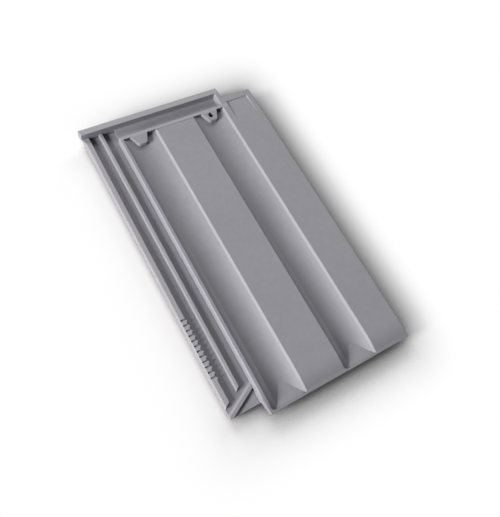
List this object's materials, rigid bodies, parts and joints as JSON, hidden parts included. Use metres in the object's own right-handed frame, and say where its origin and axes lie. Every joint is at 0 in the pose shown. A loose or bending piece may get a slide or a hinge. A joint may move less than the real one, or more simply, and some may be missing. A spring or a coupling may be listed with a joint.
{
  "type": "interlocking clay roof tile",
  "caption": "Flat interlocking clay roof tile with two long troughs, a side lock with channels, a head channel, a cover flap and a nail hole.",
  "frame": {"origin": "on the level floor below the middle of the tile's bounding box, with the tile lying on its lugs and feet", "axes": "+X from the side lock across to the cover flap, +Y from the tail up to the head, +Z out of the weather face"},
  "size_m": [0.276, 0.475, 0.03],
  "materials": {
    "engobed_clay": "matte grey engobe"
  },
  "bodies": {
    "root": {"roof_tile": "engobed_clay"}
  },
  "joints": []
}
